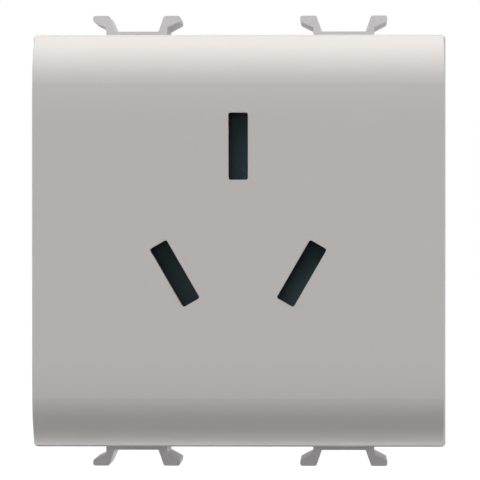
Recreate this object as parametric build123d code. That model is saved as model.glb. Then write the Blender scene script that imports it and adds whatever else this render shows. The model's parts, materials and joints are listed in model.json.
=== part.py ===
from build123d import *
import os
from math import cos, radians, sin, sqrt, tan

# Three-pin wall socket module that snaps into a mounting frame. Sizes are in millimetres.
# X runs to the right and Z up as seen from the front, and Y runs into the wall.
# The origin is the middle of the seat, the rear rim of the front cover.

# Front cover: outline of the lip at the seat, its step and height, rise of the face, and walls.
face_w = 45.0
face_h = 45.0
lip_step = 0.2
lip_h = 1.2
lip_break = 0.12
face_rise = 6.5
face_wall = 2.0
side_wall = 1.6
corner_r = 0.5
edge_break = 0.1
# Bent bands along the top and bottom of the face: a gentle shoulder, then a roll over the edge.
bend_h = 8.8
shoulder_r = 40.6
shoulder_angle = 5.0
edge_angle = 70.0
# Square posts that press the deck on its ledges: width, and distances from the deck and the bend.
post_w = 2.0
post_in = 2.0
post_drop = 1.2

# Plug pattern of the standard: pin circle radii, blade size, blade reach and blade tilt.
live_circle = 7.92
earth_circle = 10.31
blade_w = 6.35
blade_t = 1.6
earth_blade = 21.0
blade_tilt = 30.0
pattern_z = 0.16
slot_spare_l = 0.92
slot_spare_w = 0.52
slot_inset = 0.25
slot_corner = 0.25

# Shutter and its spring.
shutter_t = 3.0
shutter_margin = 1.4
shutter_spare = 0.2
shutter_break = 0.6
travel_spare = 0.55
land_t = 0.5
spring_room = 9.0
coil_r = 1.1
coil_wire = 0.3
coil_turns = 5
peg_l = 1.0

# Deck behind the shutter: its rails, stops, spring wall and the studs that hold the straps.
deck_t = 1.5
rail_w = 1.2
rail_trim = 2.0
stop_w = 4.0
spring_wall_w = 3.6
stud_w = 2.0

# Contacts: sheet, clip form from its mouth to its waist, and strap.
sheet_t = 0.7
clip_v = 6.0
clip_mouth = 1.9
clip_pinch = 0.6
clip_waist = 1.3
clip_lead = 3.0
clip_neck = 5.5
clip_room = 0.3
tip_room = 0.5
strap_w = 4.4
strap_short = 0.5

# Terminals: cage, clamp plate and screw.
term_w = 7.0
term_l = 8.0
term_wall = 1.4
term_side = 1.1
term_nut = 2.4
cage_break = 0.4
clamp_room = 5.0
clamp_t = 1.0
clamp_l = 6.4
clamp_travel = 2.6
screw_r = 1.7
pilot_step = 0.5
pilot_l = 0.6
head_r = 2.9
head_h = 1.8
head_room = 0.3
drive_w = 0.8
drive_d = 0.9
wire_r = 2.0

# Housing: walls, edges, inner ledges and props, screw wells and shallow outer panels.
house_wall = 1.6
house_back_wall = 2.0
house_break = 0.6
rib_t = 1.2
ledge_w = 1.6
ledge_out = 1.8
prop_w = 3.6
well_gap = 0.4
well_room = 0.8
relief = 0.4
panel_gap = 1.6
panel_edge = 4.0
field_w = 18.0
field_h = 12.0

# Snap lugs, the frame they grip, and the snap tabs that hold the cover by its side walls.
frame_t = 2.0
lug_x = 11.4
lug_base = 6.7
lug_depth = 12.4
lug_strip = 0.52
lug_horn = 1.75
lug_root = 0.95
lug_lean = 0.62
lug_flare = 1.44
lug_land = 5.5
toe_h = 0.65
toe_z = 0.45
toe_round = 0.26
tab_w = 6.0
tab_z = 8.0
tab_set = 1.0
catch_set = 0.3
catch_l = 1.2
catch_out = 0.5

# Clearances: nested mouldings, sliding faces, running fits and resting faces.
nest = 0.15
slide_gap = 0.2
run = 0.05
rest = 0.05
# How deep a boss is rooted in the wall that carries it, and how far a cut runs past a face.
root = 0.5
over = 1.0


def slab(x0, x1, y0, y1, z0, z1):
    """Box between two corners, given in any order."""
    middle = Pos((x0 + x1) / 2, (y0 + y1) / 2, (z0 + z1) / 2)
    return middle * Box(abs(x1 - x0), abs(y1 - y0), abs(z1 - z0))


def stud_y(w, x, z, y0, y1):
    """Square bar that runs into the wall."""
    return slab(x - w / 2, x + w / 2, y0, y1, z - w / 2, z + w / 2)


def stud_x(w, y, z, x0, x1):
    """Square bar that runs from left to right."""
    return slab(x0, x1, y - w / 2, y + w / 2, z - w / 2, z + w / 2)


def rod_y(r, x, z, y0, y1):
    """Round bar that runs into the wall."""
    return Pos(x, (y0 + y1) / 2, z) * Rot(90, 0, 0) * Cylinder(r, y1 - y0)


def rod_z(r, x, y, z0, z1):
    """Upright round bar."""
    return Pos(x, y, (z0 + z1) / 2) * Cylinder(r, abs(z1 - z0))


def prism_y(sketch, y0, y1):
    """Front-view sketch carried from depth y0 to depth y1."""
    return extrude(Plane((0, y1, 0), (1, 0, 0), (0, -1, 0)) * sketch, amount=y1 - y0)


def prism_x(sketch, x0, x1):
    """Side-view sketch (depth, height) carried from x0 to x1."""
    return extrude(Plane.YZ.offset(x0) * sketch, amount=x1 - x0)


def outline(*points):
    return make_face(Polyline(*points, close=True))


# Depths from front to back.
front = -face_rise
face_back = front + face_wall
shutter_front = face_back + slide_gap
shutter_back = shutter_front + shutter_t
deck_front = shutter_back + slide_gap
deck_back = deck_front + deck_t
clip_front = deck_back + clip_room
clip_base = front + earth_blade + tip_room
strap_back = clip_base + sheet_t
room_front = clip_base - rest
room_back = room_front + clamp_room
term_front = room_front - term_wall
term_back = room_back + term_nut
clamp_back = room_back - 2 * rest
clamp_front = clamp_back - clamp_t
head_front = term_back + clamp_travel + head_room
head_back = head_front + head_h
house_back = head_back + well_room
floor_y = house_back - house_back_wall
wire_y = (strap_back + clamp_front) / 2
lug_front = frame_t + 2 * rest
lug_back = lug_front + lug_depth

# Face profile inside the lip: the flat, the shoulder and the rolled edge meet without a step.
body_w = face_w - 2 * lip_step
body_h = face_h - 2 * lip_step
flat_half = body_h / 2 - bend_h
bend_a = radians(shoulder_angle)
bend_b = radians(edge_angle)
roll_r = (bend_h - shoulder_r * sin(bend_a)) / (sin(bend_b) - sin(bend_a))


def face_profile(inset):
    """Side view of the cover, inset by a wall thickness, closed at the seat plane."""
    r1 = shoulder_r - inset
    r2 = roll_r - inset

    def on_shoulder(angle):
        return (front + inset + r1 * (1 - cos(angle)), flat_half + r1 * sin(angle))

    def on_roll(angle):
        y, z = on_shoulder(bend_a)
        return (y + r2 * (cos(bend_a) - cos(angle)), z + r2 * (sin(angle) - sin(bend_a)))

    top = [on_shoulder(0), on_shoulder(bend_a / 2), on_shoulder(bend_a)]
    top += [on_roll((bend_a + bend_b) / 2), on_roll(bend_b)]
    low = [(y, -z) for y, z in top]
    path = Line(low[0], top[0])
    for side in (top, low):
        seat = (0, side[4][1])
        path += ThreePointArc(side[0], side[1], side[2])
        path += ThreePointArc(side[2], side[3], side[4])
        path += Line(side[4], seat)
    path += Line((0, low[4][1]), (0, top[4][1]))
    return make_face(path), top[4]


# Plug slots: middle, tilt and size of each.
tilt = radians(blade_tilt)
live_x = live_circle * cos(tilt)
live_z = pattern_z - live_circle * sin(tilt)
earth_z = pattern_z + earth_circle
slot_l = blade_w + slot_spare_l
slot_w = blade_t + slot_spare_w
slots = (
    (0, earth_z - slot_inset, 0),
    (-live_x, live_z + slot_inset, blade_tilt),
    (live_x, live_z + slot_inset, -blade_tilt),
)


def slot_prism(x, z, turn, spare, y0, y1):
    shape = RectangleRounded(slot_w + spare, slot_l + spare, slot_corner)
    return prism_y(Pos(x, z) * Rot(0, 0, turn) * shape, y0, y1)


# Space inside the cover and the housing that nests in it.
outer_profile, outer_end = face_profile(0)
inner_profile, inner_end = face_profile(face_wall)
cover_in_x = body_w / 2 - side_wall
house_x = cover_in_x - nest
house_z = inner_end[1] - nest
in_x = house_x - house_wall
in_z = house_z - house_wall
house_front = deck_front
deck_x = in_x - nest
deck_z = in_z - nest
post_x = deck_x - post_in
post_z = flat_half - post_drop

# Snap tabs of the housing, and the ledges that carry the deck beside them.
tab_front = face_back + tab_set
catch_front = tab_front + catch_set
catch_back = catch_front + catch_l
ledge_z = tab_z - tab_w / 2
corners = [(sx, sz) for sx in (-1, 1) for sz in (-1, 1)]


def slot_half_z(turn):
    """Half the height that a tilted slot takes up."""
    lean = abs(radians(turn))
    return slot_l / 2 * cos(lean) + slot_w / 2 * sin(lean)


# Shutter: it slides sideways far enough to close every slot, and its outline follows the slots.
travel = slot_w / cos(tilt) + travel_spare
live_half_z = slot_half_z(blade_tilt) + shutter_spare
live_half_x = live_half_z * tan(tilt) + slot_w / 2 / cos(tilt) + shutter_spare
bar_x0 = -live_x - live_half_x - travel - shutter_margin
bar_x1 = live_x + live_half_x + shutter_margin
bar_z0 = slots[1][1] - live_half_z - shutter_margin
bar_z1 = slots[1][1] + live_half_z + shutter_margin
tongue_x0 = -slot_w / 2 - shutter_spare - travel - shutter_margin
tongue_x1 = slot_w / 2 + shutter_spare + shutter_margin
tongue_z1 = slots[0][1] + slot_half_z(0) + shutter_spare + shutter_margin
spring_y = (shutter_front + shutter_back) / 2
spring_z = (bar_z1 + tongue_z1) / 2
peg_w = (coil_r - coil_wire / 2 - slide_gap) * sqrt(2)

# Terminals sit against the housing walls, and their wires come in from below or from above.
term_z = in_z - nest - term_l / 2
live_term_x = in_x - rib_t - 2 * nest - term_w / 2
strip_z = face_h / 2 + lug_strip
pilot_r = screw_r - pilot_step
well_r = head_r + well_gap


def stud_reach(turn):
    """How far from a blade its strap is free of the clip, so that the deck can hold it down."""
    lean = abs(radians(turn))
    return clip_v / 2 * sin(lean) + (clip_mouth + sheet_t) * cos(lean) + nest + stud_w / 2


earth_term_x = stud_reach(0) + stud_w / 2 + nest + term_w / 2
lines = (
    (0, earth_z, 0, earth_term_x, 1),
    (-live_x, live_z, blade_tilt, -live_term_x, -1),
    (live_x, live_z, -blade_tilt, live_term_x, -1),
)


def strap_level(z, way):
    """Height of the strap: at the blade, but clear of the terminal."""
    return way * min(way * z, term_z - term_l / 2 - nest - strap_w / 2)


def front_cover():
    """Rolled face with a low lip round its seat, plug slots, posts and pockets for the snap tabs."""
    block = prism_x(outer_profile, -body_w / 2, body_w / 2)
    ends = block.faces().filter_by(Axis.X)
    block = chamfer([e for f in ends for e in f.edges() if e.center().Y < -rest], edge_break)
    lip = prism_y(RectangleRounded(face_w, face_h, corner_r), -lip_h, 0)
    block += chamfer(lip.faces().sort_by(Axis.Y)[0].edges(), lip_break)
    cover = block - prism_x(inner_profile, -cover_in_x, cover_in_x)
    for x, z, turn in slots:
        cover -= slot_prism(x, z, turn, 0, front - over, face_back + over)
    for sx, sz in corners:
        cover += stud_y(post_w, sx * post_x, sz * post_z, face_back - root, deck_front - rest)
        x0 = sx * (cover_in_x - nest)
        x1 = sx * (house_x + catch_out + nest)
        z0 = sz * tab_z - tab_w / 2 - slide_gap
        z1 = sz * tab_z + tab_w / 2 + slide_gap
        cover -= slab(x0, x1, catch_front - slide_gap, catch_back + slide_gap, z0, z1)
    return cover


def ramp_window(x, z, turn):
    """Opening in the shutter: straight behind its resting place, ramped under the slot."""
    lean = radians(turn)
    half_x = slot_w / 2 / cos(lean) + shutter_spare
    half_z = slot_half_z(turn) + shutter_spare
    shape = outline(
        (-travel - half_x, shutter_front - over),
        (half_x, shutter_front - over),
        (half_x, shutter_front),
        (half_x - travel, shutter_back - land_t),
        (half_x - travel, shutter_back + over),
        (-travel - half_x, shutter_back + over),
    )
    foot = Plane.XY.offset(z - half_z) * Pos(x + half_z * tan(lean), 0) * shape
    return extrude(foot, amount=2 * half_z / cos(lean), dir=(-sin(lean), 0, cos(lean)))


def safety_shutter():
    """Plate that closes the slots; blades push it aside on its ramps against the spring."""
    body = slab(bar_x0, bar_x1, shutter_front, shutter_back, bar_z0, bar_z1)
    body += slab(tongue_x0, tongue_x1, shutter_front, shutter_back, bar_z1 - root, tongue_z1)
    body = chamfer(body.edges().filter_by(Axis.Y), shutter_break)
    for x, z, turn in slots:
        body -= ramp_window(x, z, turn)
    return body + stud_x(peg_w, spring_y, spring_z, tongue_x1 - root, tongue_x1 + peg_l)


def shutter_spring():
    """Open coil between the shutter's peg and the deck's spring wall."""
    length = spring_room - coil_wire - 2 * rest
    start = tongue_x1 + rest + coil_wire / 2
    path = Helix(length / coil_turns, length, coil_r, (start, spring_y, spring_z), (1, 0, 0))
    section = Plane(origin=path @ 0, z_dir=path % 0) * RegularPolygon(coil_wire / 2, 5)
    return sweep(section, path=path, is_frenet=True)


def contact_deck():
    """Insulating plate with rails and stops for the shutter, a spring wall and strap studs."""
    deck = slab(-deck_x, deck_x, deck_front, deck_back, -deck_z, deck_z)
    rail_front = spring_y - coil_r
    lower = bar_z0 - nest
    upper = tongue_z1 + nest
    deck += slab(bar_x0 + rail_trim, bar_x1, rail_front, deck_front, lower - rail_w, lower)
    deck += slab(tongue_x0, tongue_x1 + travel, rail_front, deck_front, upper, upper + rail_w)
    middle = (bar_z0 + bar_z1) / 2
    for edge, way in ((bar_x0 - nest, -1), (bar_x1 + travel + nest, 1)):
        z0 = middle - stop_w / 2
        deck += slab(edge, edge + way * rail_w, rail_front, deck_front, z0, z0 + stop_w)
    wall = tongue_x1 + spring_room
    z0 = spring_z - spring_wall_w / 2
    deck += slab(wall, wall + rail_w, rail_front, deck_front, z0, z0 + spring_wall_w)
    deck += stud_x(peg_w, spring_y, spring_z, wall - peg_l, wall + root)
    for x, z, turn in slots:
        deck -= slot_prism(x, z, turn, 2 * slide_gap, deck_front - over, deck_back + over)
    for x, z, turn, term_x, way in lines:
        x += stud_reach(turn) if term_x > x else -stud_reach(turn)
        deck += stud_y(stud_w, x, strap_level(z, way), deck_back - root, clip_base - rest)
    return deck


def contact(x, z, turn, term_x, way):
    """Folded spring clip on the blade, with a flat strap that ends in the terminal."""
    depths = (clip_front, clip_front + clip_lead, clip_front + clip_neck, strap_back)
    gaps = (clip_mouth, clip_pinch, clip_waist, clip_waist)
    leaf = list(zip(gaps, depths))
    leaf += [(u + sheet_t, y) for u, y in reversed(leaf)]
    shape = outline(*leaf) + outline(*[(-u, y) for u, y in leaf])
    wide = clip_waist + sheet_t
    shape += outline((-wide, clip_base), (wide, clip_base), (wide, strap_back), (-wide, strap_back))
    clip = extrude(Plane.XY.offset(-clip_v / 2) * shape, amount=clip_v)
    clip = Pos(x, 0, z) * Rot(0, -turn, 0) * clip
    half = strap_w / 2
    level = strap_level(z, way)
    end = term_x + half * (1 if term_x > x else -1)
    strap = slab(x, end, clip_base, strap_back, level - half, level + half)
    z1 = way * (term_z + term_l / 2 - strap_short)
    strap += slab(term_x - half, term_x + half, clip_base, strap_back, level - way * half, z1)
    return clip + strap


def terminal(term_x, way):
    """Brass cage: a through window for the wire and a nut wall for the screw."""
    z = way * term_z
    half_w = term_w / 2
    half_l = term_l / 2
    cage = slab(term_x - half_w, term_x + half_w, term_front, term_back, z - half_l, z + half_l)
    cage = chamfer(cage.edges().filter_by(Axis.Z), cage_break)
    half_room = half_w - term_side
    z0 = z - half_l - over
    z1 = z + half_l + over
    cage -= slab(term_x - half_room, term_x + half_room, room_front, room_back, z0, z1)
    return cage - rod_y(screw_r + run, term_x, z, room_back - over, term_back + over)


def clamp_plate(term_x, way):
    """Plate that presses the wire on the strap, with a socket for the screw's pilot."""
    half_w = term_w / 2 - term_side - 2 * run
    z = way * term_z
    z0 = z - clamp_l / 2
    plate = slab(term_x - half_w, term_x + half_w, clamp_front, clamp_back, z0, z0 + clamp_l)
    return plate - rod_y(pilot_r + run, term_x, z, clamp_back - pilot_l - rest, clamp_back + over)


def terminal_screw(term_x, way):
    """Screw with a pilot that turns in the clamp plate and a slotted head."""
    z = way * term_z
    screw = rod_y(pilot_r, term_x, z, clamp_back - pilot_l, clamp_back + root)
    screw += rod_y(screw_r, term_x, z, clamp_back + run, head_front + root)
    screw += rod_y(head_r, term_x, z, head_front, head_back)
    x0 = term_x - head_r
    z0 = z - drive_w / 2
    return screw - slab(x0, x0 + 2 * head_r, head_back - drive_d, head_back + over, z0, z0 + drive_w)


def lug():
    """Snap lug for the top edge: a strip with two toed horns that run out in ramps behind."""
    half = lug_base / 2
    tip = half + lug_flare
    right = [
        (half - lug_root, 0),
        (half - lug_root + lug_lean, lug_horn),
        (tip, lug_horn),
        (tip, lug_horn - toe_h),
        (half, toe_z),
        (half, house_z - root - strip_z),
    ]
    left = [(-x, z) for x, z in reversed(right)]
    shape = outline(*right, *left)
    shape = fillet([v for v in shape.vertices() if v.Y > toe_z + rest], toe_round)
    body = prism_y(Pos(0, strip_z) * shape, lug_front, lug_back)
    top_z = strip_z + lug_horn
    start = (lug_front + lug_land, top_z)
    end = (lug_back, strip_z)
    behind = lug_back + over
    sky = Polyline(end, (behind, strip_z), (behind, top_z + over), (start[0], top_z + over), start)
    ramp = make_face(TangentArc(start, end, tangent=(1, 0)) + sky)
    return body - prism_x(ramp, -tip - over, tip + over)


def snap_tab(sx, sz):
    """Tongue on the housing's side wall with a hook for the cover's pocket."""
    z0 = sz * tab_z - tab_w / 2
    tongue = slab(sx * in_x, sx * house_x, tab_front, house_front + root, z0, z0 + tab_w)
    hook = outline(
        (sx * (house_x - root), catch_front),
        (sx * house_x, catch_front),
        (sx * (house_x + catch_out), catch_back - catch_set),
        (sx * (house_x + catch_out), catch_back),
        (sx * (house_x - root), catch_back),
    )
    return tongue + extrude(Plane.XY.offset(z0) * hook, amount=tab_w)


def rear_housing():
    """Box behind the cover: lugs and tabs outside, ledges, props and terminal bays inside."""
    shell = slab(-house_x, house_x, house_front, house_back, -house_z, house_z)
    back = shell.faces().sort_by(Axis.Y)[-1]
    shell = chamfer(shell.edges().filter_by(Axis.Y) + back.edges(), house_break)
    shell -= slab(-in_x, in_x, house_front - over, floor_y, -in_z, in_z)
    half_w = field_w / 2
    half_h = field_h / 2
    shell -= slab(-half_w, half_w, house_back - relief, house_back + over, -half_h, half_h)
    inside = floor_y + root
    half = ledge_w / 2
    for sx, sz in corners:
        shell += snap_tab(sx, sz)
        x0 = sx * (in_x - ledge_out)
        z = sz * ledge_z
        shell += slab(x0, sx * (in_x + root), deck_back + rest, inside, z - half, z + half)
        x0 = sx * (house_x - relief)
        z1 = sz * (house_z - panel_edge)
        shell -= slab(x0, sx * (house_x + over), lug_back, house_back - lug_front, sz * panel_gap, z1)
        top_lug = Pos(sx * lug_x, 0, 0) * lug()
        shell += top_lug if sz > 0 else mirror(top_lug, Plane.XY)
    for sz in (-1, 1):
        z0 = sz * (in_z - ledge_out)
        shell += slab(-half, half, deck_back + rest, inside, z0, sz * (in_z + root))
    for x, z, turn, term_x, way in lines:
        shell += stud_y(prop_w, x, z, strap_back + rest, inside)
        z0 = way * (term_z - term_l / 2)
        for side in (-1, 1):
            x0 = term_x + side * (term_w / 2 + nest)
            z1 = way * (in_z + root)
            shell += slab(x0, x0 + side * rib_t, strap_back + 2 * nest, inside, z0, z1)
        z = way * term_z
        shell += rod_y(well_r + rib_t, term_x, z, term_back + rest, house_back + relief)
        shell -= rod_y(well_r, term_x, z, term_back - over, house_back + over)
        shell -= rod_z(wire_r, term_x, wire_y, way * (in_z - root), way * (house_z + over))
    return shell


parts = {
    "front_cover": front_cover(),
    "rear_housing": rear_housing(),
    "contact_deck": contact_deck(),
    "safety_shutter": safety_shutter(),
    "shutter_spring": shutter_spring(),
}
for name, line in zip(("earth", "neutral", "line"), lines):
    parts[name + "_contact"] = contact(*line)
    parts[name + "_terminal"] = terminal(*line[3:])
    parts[name + "_clamp_plate"] = clamp_plate(*line[3:])
    parts[name + "_screw"] = terminal_screw(*line[3:])

os.makedirs("parts", exist_ok=True)
for name, shape in parts.items():
    export_step(shape, f"parts/{name}.step")
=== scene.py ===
import json
import math

import bpy
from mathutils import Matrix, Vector


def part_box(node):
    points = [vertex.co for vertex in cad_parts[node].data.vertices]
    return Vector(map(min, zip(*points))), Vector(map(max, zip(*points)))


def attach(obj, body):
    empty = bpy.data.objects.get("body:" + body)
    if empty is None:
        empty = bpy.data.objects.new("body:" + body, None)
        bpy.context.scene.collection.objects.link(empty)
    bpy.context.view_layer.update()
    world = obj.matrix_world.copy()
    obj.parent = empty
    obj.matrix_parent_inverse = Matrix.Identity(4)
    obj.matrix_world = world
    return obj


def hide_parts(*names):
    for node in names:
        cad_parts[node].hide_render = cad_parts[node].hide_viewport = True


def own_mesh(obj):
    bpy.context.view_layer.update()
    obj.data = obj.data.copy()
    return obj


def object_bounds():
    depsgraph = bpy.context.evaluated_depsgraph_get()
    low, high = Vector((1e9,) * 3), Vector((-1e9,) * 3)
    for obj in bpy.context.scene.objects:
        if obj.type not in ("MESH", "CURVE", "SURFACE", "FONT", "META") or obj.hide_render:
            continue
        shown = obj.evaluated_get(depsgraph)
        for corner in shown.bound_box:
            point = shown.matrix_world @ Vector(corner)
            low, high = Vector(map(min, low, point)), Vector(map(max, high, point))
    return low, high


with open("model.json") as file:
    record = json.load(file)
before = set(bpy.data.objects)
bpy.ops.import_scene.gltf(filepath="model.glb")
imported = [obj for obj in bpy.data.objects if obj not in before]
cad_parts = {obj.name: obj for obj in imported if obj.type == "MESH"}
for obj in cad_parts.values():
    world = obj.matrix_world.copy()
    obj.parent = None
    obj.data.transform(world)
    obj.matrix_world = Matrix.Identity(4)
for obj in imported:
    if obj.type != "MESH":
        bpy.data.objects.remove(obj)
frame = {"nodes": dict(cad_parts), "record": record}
nodes = frame["nodes"]
scene = bpy.context.scene
cad_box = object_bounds()

# The photograph: its width, the cover's width at the depth of its front and the middle of the face,
# all in pixels. The camera: its distance, its place to the right and its nearest view in metres.
IMAGE_PX = 480
COVER_PX = 416.9
FACE_MIDDLE_PX = (238.1, 240.75)
CAMERA_DISTANCE = 0.45
CAMERA_ASIDE = 0.0115
CLIP_START = 0.01
SENSOR_MM = 36.0

# Light: each lamp's turn to the right of the front, its height and its width, all in degrees (past
# 90 high or low it stands behind), and its level on a surface that faces it; the room's level.
LAMPS = {
    "overhead": (0, 74, 100, 1.51),
    "front": (0, 4, 16, 0.21),
    "rear": (0, -130, 75, 1.28),
    "left": (-90, 0, 40, 0.4),
    "right": (90, 0, 40, 0.4),
}
ROOM_LIGHT = 0.085

# Floor: its size and its drop below the part in metres, and its matt and glowing shares.
FLOOR_SIZE = 6.0
FLOOR_DROP = 0.01
FLOOR_MATT = 0.32
FLOOR_GLOW = 0.56

# Finishes: the range that noise mostly keeps to and its detail; the refraction of plastic; for plastic
# and metal the noise's features per metre and how far it swings the roughness; the depth of streaks
# in metres.
NOISE_RANGE = (0.3, 0.7)
FINE_DETAIL = 2.0
STREAK_DETAIL = 3.0
PATCH_DETAIL = 4.0
PLASTIC_IOR = 1.46
PLASTIC_PATCHES = 180
PLASTIC_SWING = 0.04
METAL_STREAKS = 900
METAL_PATCHES = 350
METAL_SMOOTHER = 0.08
METAL_ROUGHER = 0.1
STREAK_DEPTH = 4e-6

# Smooth shading stops at edges that turn by more than this, in degrees.
CRISP_EDGE = 35
CRISP_WIRE_EDGE = 60

# Spring: wire and radius of the coil in metres, turns that work and that lie flat at each end, and
# how finely the mesh is divided.
WIRE = 0.0003
COIL_R = 0.0011
WORKING_TURNS = 5
FLAT_TURNS = 1
RINGS_PER_TURN = 30
WIRE_SIDES = 10

# Terminal screws: pilot, shank, thread and slotted head in metres, and how finely the mesh is
# divided. The thread's flanks are steeper than a plain zigzag, which leaves a flat crest.
PILOT_R = 0.0012
PILOT_L = 0.00065
SHANK_R = 0.0017
PITCH = 0.0006
THREAD_DEPTH = 0.00036
FLANK_STEEPNESS = 2.4
HEAD_H = 0.0018
HEAD_BEVEL = 0.0003
SLOT_W = 0.0008
SLOT_D = 0.0009
SCREW_SIDES = 48
RINGS_PER_PITCH = 10

# Moulded marks on the back: outlines in millimetres as seen from behind, and sizes in metres.
MARKS = {
    "line": [[(-0.8, 1.3), (-0.8, -1.3), (0.8, -1.3), (0.8, -0.85), (-0.35, -0.85), (-0.35, 1.3)]],
    "neutral": [
        [(-1, 1.3), (-1, -1.3), (-0.57, -1.3), (-0.57, 0.5), (0.5, -1.3)]
        + [(1, -1.3), (1, 1.3), (0.57, 1.3), (0.57, -0.5), (-0.5, 1.3)]
    ],
    "earth": [
        [(-0.22, 1.5), (-0.22, 0.35), (-1.3, 0.35), (-1.3, -0.08)]
        + [(1.3, -0.08), (1.3, 0.35), (0.22, 0.35), (0.22, 1.5)],
        [(-0.85, -0.45), (-0.85, -0.88), (0.85, -0.88), (0.85, -0.45)],
        [(-0.4, -1.25), (-0.4, -1.68), (0.4, -1.68), (0.4, -1.25)],
    ],
}
MM_PER_M = 1000
RAISED = 0.0003
SUNK = 0.0001
COLLAR_R = 0.0045
COLLAR_H = 0.0004
MARK_GAP = 0.0019


def linear(r, g, b):
    """Colour from 8-bit display values."""

    def channel(v):
        v /= 255
        return v / 12.92 if v <= 0.04045 else ((v + 0.055) / 1.055) ** 2.4

    return (channel(r), channel(g), channel(b), 1.0)


class Shader:
    """A material with a Principled shader and short ways to add nodes to it."""

    # The colour sockets of a Mix node, which has others of the same names.
    MIX_A = 6
    MIX_B = 7
    MIX_RESULT = 2

    def __init__(self, name):
        self.material = bpy.data.materials.new(name)
        self.material.use_nodes = True
        self.tree = self.material.node_tree
        self.principled = self.tree.nodes["Principled BSDF"]
        self.where = self.add("ShaderNodeTexCoord").outputs["Object"]

    def put(self, socket, value):
        """Link another socket to this one, or set it to a plain value."""
        if isinstance(value, bpy.types.NodeSocket):
            self.tree.links.new(value, socket)
        else:
            socket.default_value = value

    def add(self, kind, inputs=None, **settings):
        node = self.tree.nodes.new(kind)
        for key, value in settings.items():
            setattr(node, key, value)
        for key, value in (inputs or {}).items():
            self.put(node.inputs[key], value)
        return node

    def set(self, **values):
        """Fill the Principled shader's sockets, named as base_color for Base Color."""
        for key, value in values.items():
            self.put(self.principled.inputs[key.replace("_", " ").title()], value)

    def noise(self, per_metre, detail, stretch=None):
        where = self.where
        if stretch:
            mapping = self.add("ShaderNodeMapping", {"Vector": where, "Scale": stretch})
            where = mapping.outputs["Vector"]
        inputs = {"Vector": where, "Scale": per_metre, "Detail": detail}
        return self.add("ShaderNodeTexNoise", inputs).outputs["Fac"]

    def spread(self, fac, low, high):
        """Noise mapped to the range from low to high."""
        start, end = NOISE_RANGE
        inputs = {"Value": fac, "From Min": start, "From Max": end, "To Min": low, "To Max": high}
        return self.add("ShaderNodeMapRange", inputs).outputs["Result"]

    def tint(self, colour, fac, share):
        """The colour, lighter and darker by a share of itself."""
        dark = tuple(c * (1 - share) for c in colour[:3]) + (1.0,)
        light = tuple(min(1.0, c * (1 + share)) for c in colour[:3]) + (1.0,)
        inputs = {"Factor": fac, self.MIX_A: dark, self.MIX_B: light}
        return self.add("ShaderNodeMix", inputs, data_type="RGBA").outputs[self.MIX_RESULT]

    def bump(self, fac, depth):
        inputs = {"Height": fac, "Distance": depth, "Strength": 1.0}
        return self.add("ShaderNodeBump", inputs).outputs["Normal"]


def moulded(name, colour, roughness, grain, depth, mottle, gloss=0.5):
    """Moulded plastic: fine spark-eroded grain, faint mottling and slightly uneven gloss."""
    s = Shader(name)
    fine = s.noise(grain, FINE_DETAIL)
    broad = s.noise(PLASTIC_PATCHES, PATCH_DETAIL)
    s.set(
        base_color=s.tint(colour, broad, mottle),
        roughness=s.spread(broad, roughness - PLASTIC_SWING, roughness + PLASTIC_SWING),
        normal=s.bump(fine, depth),
    )
    s.principled.inputs["IOR"].default_value = PLASTIC_IOR
    s.principled.inputs["Specular IOR Level"].default_value = gloss
    return s.material


def metal(name, colour, roughness, stretch, mottle):
    """Rolled or turned metal: streaks along the grain and patches of dullness."""
    s = Shader(name)
    streaks = s.noise(METAL_STREAKS, STREAK_DETAIL, stretch)
    patches = s.noise(METAL_PATCHES, PATCH_DETAIL)
    s.set(
        base_color=s.tint(colour, patches, mottle),
        metallic=1.0,
        roughness=s.spread(streaks, roughness - METAL_SMOOTHER, roughness + METAL_ROUGHER),
        normal=s.bump(streaks, STREAK_DEPTH),
    )
    return s.material


COVER = linear(178, 174, 171)
HOUSING = linear(184, 182, 183)
BLACK = linear(62, 76, 80)
DECK = linear(206, 205, 198)
BRONZE = linear(201, 150, 98)
BRASS = linear(212, 178, 106)
ZINC = linear(196, 198, 203)
STEEL = linear(170, 172, 176)

# Plastics by roughness, grains per metre, depth of grain in metres, mottling and gloss; metals by
# roughness, stretch of the streaks and mottling.
finishes = {
    "cover": moulded("titanium satin plastic", COVER, 0.6, 9000, 2.5e-6, 0.012),
    "housing": moulded("pale grey plastic", HOUSING, 0.55, 7000, 4e-6, 0.02),
    "black_plastic": moulded("black plastic", BLACK, 0.3, 8000, 2e-6, 0.05, gloss=0.3),
    "deck_plastic": moulded("off-white plastic", DECK, 0.5, 7000, 4e-6, 0.02),
    "bronze": metal("spring bronze", BRONZE, 0.3, (1, 1, 0.15), 0.1),
    "brass": metal("machined brass", BRASS, 0.28, (1, 0.15, 1), 0.08),
    "zinc_steel": metal("zinc plated steel", ZINC, 0.3, (1, 1, 1), 0.06),
    "spring_steel": metal("spring steel", STEEL, 0.32, (0.2, 1, 1), 0.06),
}

# Each CAD node takes the finish of its slot in the record.
for part in frame["record"]["subparts"]:
    node = nodes[part["node"]]
    node.data.materials.clear()
    node.data.materials.append(finishes[part["material_slot"]])


def new_object(name, points, faces, finish):
    mesh = bpy.data.meshes.new(name)
    mesh.from_pydata(points, [], faces)
    mesh.materials.append(finish)
    obj = bpy.data.objects.new(name, mesh)
    scene.collection.objects.link(obj)
    return obj


def skin(name, rings, finish):
    """Closed mesh through rings with the same number of points, capped at both ends."""
    count = len(rings[0])
    points = [p for ring in rings for p in ring]
    faces = [tuple(reversed(range(count))), tuple(range(len(points) - count, len(points)))]
    for i in range(len(rings) - 1):
        for j in range(count):
            a = i * count + j
            b = i * count + (j + 1) % count
            faces.append((a, b, b + count, a + count))
    return new_object(name, points, faces, finish)


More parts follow.
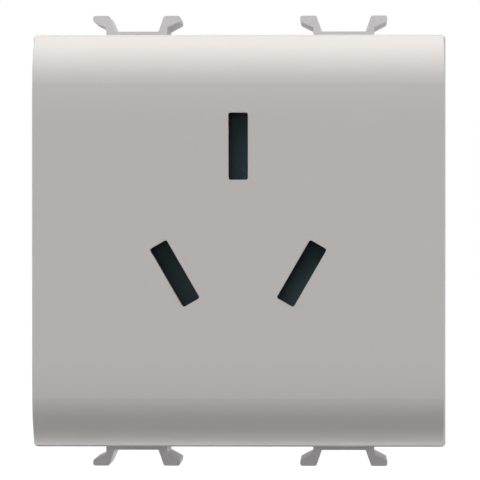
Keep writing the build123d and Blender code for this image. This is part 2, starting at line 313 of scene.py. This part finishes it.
def shade(obj, angle):
    """Smooth shading, with edges sharper than the angle left crisp."""
    bpy.context.view_layer.objects.active = obj
    obj.select_set(True)
    bpy.ops.object.shade_smooth_by_angle(angle=math.radians(angle))
    obj.select_set(False)


def spring():
    """Round wire in place of the CAD spring."""
    low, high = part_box("shutter_spring")
    middle = (low + high) / 2
    length = high.x - low.x
    turns = WORKING_TURNS + 2 * FLAT_TURNS
    slope = (length - WIRE - 2 * FLAT_TURNS * WIRE) / WORKING_TURNS
    rings = []
    for i in range(turns * RINGS_PER_TURN + 1):
        turn = i / RINGS_PER_TURN
        working = min(max(turn - FLAT_TURNS, 0), WORKING_TURNS)
        x = low.x + WIRE / 2 + working * slope + (turn - working) * WIRE
        angle = 2 * math.pi * turn
        out = Vector((0, math.cos(angle), math.sin(angle)))
        along = Vector((slope / (2 * math.pi), -COIL_R * out.z, COIL_R * out.y)).normalized()
        across = along.cross(out)
        centre = Vector((x, middle.y, middle.z)) + COIL_R * out
        ring = []
        for j in range(WIRE_SIDES):
            a = 2 * math.pi * j / WIRE_SIDES
            ring.append(centre + WIRE / 2 * (math.cos(a) * out + math.sin(a) * across))
        rings.append(ring)
    obj = skin("spring_wire", rings, finishes["spring_steel"])
    shade(obj, CRISP_WIRE_EDGE)
    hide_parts("shutter_spring")
    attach(obj, "body")
    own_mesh(obj)


def screw_mesh(low, high):
    """Threaded screw that points along -Y from the middle of its head's back, with a drive slot."""
    head_r = (high.x - low.x) / 2
    tip = low.y - high.y
    shank = tip + PILOT_L
    head = -HEAD_H
    rings = []

    def ring(y, radius):
        points = []
        for j in range(SCREW_SIDES):
            share = j / SCREW_SIDES
            r = radius(share) if callable(radius) else radius
            a = 2 * math.pi * share
            points.append((r * math.cos(a), y, r * math.sin(a)))
        rings.append(points)

    def thread(y):
        """Radius round the shank at depth y: a ridge that climbs one pitch with each turn."""

        def radius(share):
            phase = ((y - shank) / PITCH + share) % 1
            ridge = min(1.0, FLANK_STEEPNESS * abs(phase - 0.5))
            return SHANK_R - THREAD_DEPTH * (1 - ridge)

        return radius

    ring(tip, PILOT_R)
    ring(shank, PILOT_R)
    rows = round((head - shank) / PITCH * RINGS_PER_PITCH)
    for i in range(rows + 1):
        y = shank + (head - shank) * i / rows
        ring(y, thread(y))
    ring(head, head_r)
    ring(-HEAD_BEVEL, head_r)
    ring(0, head_r - HEAD_BEVEL)
    obj = skin("screw", rings, finishes["zinc_steel"])
    return slotted(obj, head_r)


def slotted(obj, head_r):
    """The screw's mesh with its drive slot, cut by a bar longer than the head and half sunk in it."""
    bpy.ops.mesh.primitive_cube_add(size=1, location=(0, 0, 0))
    bar = bpy.context.object
    bar.scale = (3 * head_r, 2 * SLOT_D, SLOT_W)
    cut = obj.modifiers.new("drive slot", "BOOLEAN")
    cut.object = bar
    cut.solver = "EXACT"
    bpy.context.view_layer.update()
    graph = bpy.context.evaluated_depsgraph_get()
    mesh = bpy.data.meshes.new_from_object(obj.evaluated_get(graph))
    for spare in (bar, obj):
        bpy.data.objects.remove(spare)
    return mesh


def screws():
    """Screws with a real thread in place of the plain CAD ones."""
    mesh = None
    for name in MARKS:
        low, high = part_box(name + "_screw")
        mesh = mesh or screw_mesh(low, high)
        obj = bpy.data.objects.new(name + "_threaded_screw", mesh)
        obj.location = ((low.x + high.x) / 2, high.y, (low.z + high.z) / 2)
        scene.collection.objects.link(obj)
        shade(obj, CRISP_EDGE)
        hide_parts(name + "_screw")
        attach(obj, name + "_screw")


def marks():
    """Raised marks beside the screw wells that name the terminals, read from behind."""
    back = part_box("rear_housing")[1].y - COLLAR_H
    for name, outlines in MARKS.items():
        low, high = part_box(name + "_screw")
        well = (low + high) / 2
        across = well.x - math.copysign(COLLAR_R + MARK_GAP, well.x)
        points, faces = [], []
        for outline in outlines:
            base, count = len(points), len(outline)
            for y in (back - SUNK, back + RAISED):
                points += [(across - x / MM_PER_M, y, well.z + z / MM_PER_M) for x, z in outline]
            faces.append([base + i for i in reversed(range(count))])
            faces.append([base + count + i for i in range(count)])
            for i in range(count):
                j = (i + 1) % count
                faces.append([base + i, base + j, base + count + j, base + count + i])
        obj = new_object(name + "_mark", points, faces, finishes["housing"])
        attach(obj, "body")


def seen_rays(tree):
    """1 for rays from the camera, and for mirrored or transmitted ones."""
    path = tree.nodes.new("ShaderNodeLightPath")
    total = path.outputs["Is Camera Ray"]
    for name in ("Is Glossy Ray", "Is Transmission Ray"):
        either = tree.nodes.new("ShaderNodeMath")
        either.operation = "MAXIMUM"
        tree.links.new(total, either.inputs[0])
        tree.links.new(path.outputs[name], either.inputs[1])
        total = either.outputs[0]
    return total


def mixed(tree, share, first, second):
    """A shader that is the first where the share is 0 and the second where it is 1."""
    mix = tree.nodes.new("ShaderNodeMixShader")
    for socket, value in zip(mix.inputs, (share, first.outputs[0], second.outputs[0])):
        tree.links.new(value, socket)
    return mix.outputs[0]


def aim(obj, place, target):
    obj.location = place
    obj.rotation_euler = (target - place).to_track_quat("-Z", "Y").to_euler()
    scene.collection.objects.link(obj)


def studio():
    """White surroundings for the eye, and for the object a dim even room with soft lamps."""
    world = bpy.data.worlds.new("studio")
    world.use_nodes = True
    scene.world = world
    tree = world.node_tree
    tree.nodes.clear()
    room = tree.nodes.new("ShaderNodeBackground")
    room.inputs["Strength"].default_value = ROOM_LIGHT
    white = tree.nodes.new("ShaderNodeBackground")
    for node in (room, white):
        node.inputs["Color"].default_value = (1, 1, 1, 1)
    output = tree.nodes.new("ShaderNodeOutputWorld")
    tree.links.new(mixed(tree, seen_rays(tree), room, white), output.inputs[0])

    for name, (turn, height, spread, level) in LAMPS.items():
        lamp = bpy.data.lights.new(name, "SUN")
        lamp.energy = math.pi * level
        lamp.angle = math.radians(spread)
        turn, height = math.radians(turn), math.radians(height)
        ahead = math.cos(height)
        place = Vector((math.sin(turn) * ahead, -math.cos(turn) * ahead, math.sin(height)))
        aim(bpy.data.objects.new(name, lamp), place, Vector((0, 0, 0)))


def floor():
    """Pale floor: white to the eye but for the part's shadow, clear to the light and from below."""
    bpy.ops.mesh.primitive_plane_add(size=FLOOR_SIZE, location=(0, 0, cad_box[0].z - FLOOR_DROP))
    plane = bpy.context.object
    plane.name = "floor"
    material = bpy.data.materials.new("floor")
    material.use_nodes = True
    tree = material.node_tree
    tree.nodes.clear()
    matt = tree.nodes.new("ShaderNodeBsdfDiffuse")
    matt.inputs["Color"].default_value = (FLOOR_MATT, FLOOR_MATT, FLOOR_MATT, 1)
    glow = tree.nodes.new("ShaderNodeEmission")
    glow.inputs["Strength"].default_value = FLOOR_GLOW
    both = tree.nodes.new("ShaderNodeAddShader")
    tree.links.new(matt.outputs[0], both.inputs[0])
    tree.links.new(glow.outputs[0], both.inputs[1])
    clear = tree.nodes.new("ShaderNodeBsdfTransparent")
    side = tree.nodes.new("ShaderNodeNewGeometry")
    above = tree.nodes.new("ShaderNodeMath")
    above.operation = "SUBTRACT"
    above.use_clamp = True
    tree.links.new(seen_rays(tree), above.inputs[0])
    tree.links.new(side.outputs["Backfacing"], above.inputs[1])
    output = tree.nodes.new("ShaderNodeOutputMaterial")
    tree.links.new(mixed(tree, above.outputs[0], clear, both), output.inputs[0])
    plane.data.materials.append(material)


def camera():
    """At the photograph's angle: square to the face, a little to the right, and far away."""
    low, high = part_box("front_cover")
    per_px = (high.x - low.x) / COVER_PX
    half_view = IMAGE_PX / 2 * per_px
    data = bpy.data.cameras.new("camera")
    data.sensor_width = SENSOR_MM
    data.lens = SENSOR_MM / 2 * CAMERA_DISTANCE / half_view
    data.clip_start = CLIP_START
    off_x = (IMAGE_PX / 2 - FACE_MIDDLE_PX[0]) * per_px
    off_z = (FACE_MIDDLE_PX[1] - IMAGE_PX / 2) * per_px
    target = Vector((off_x, low.y, off_z))
    obj = bpy.data.objects.new("camera", data)
    aim(obj, target + Vector((CAMERA_ASIDE, -CAMERA_DISTANCE, 0)), target)
    scene.camera = obj


spring()
screws()
marks()
studio()
floor()
camera()
scene.view_settings.view_transform = "Standard"
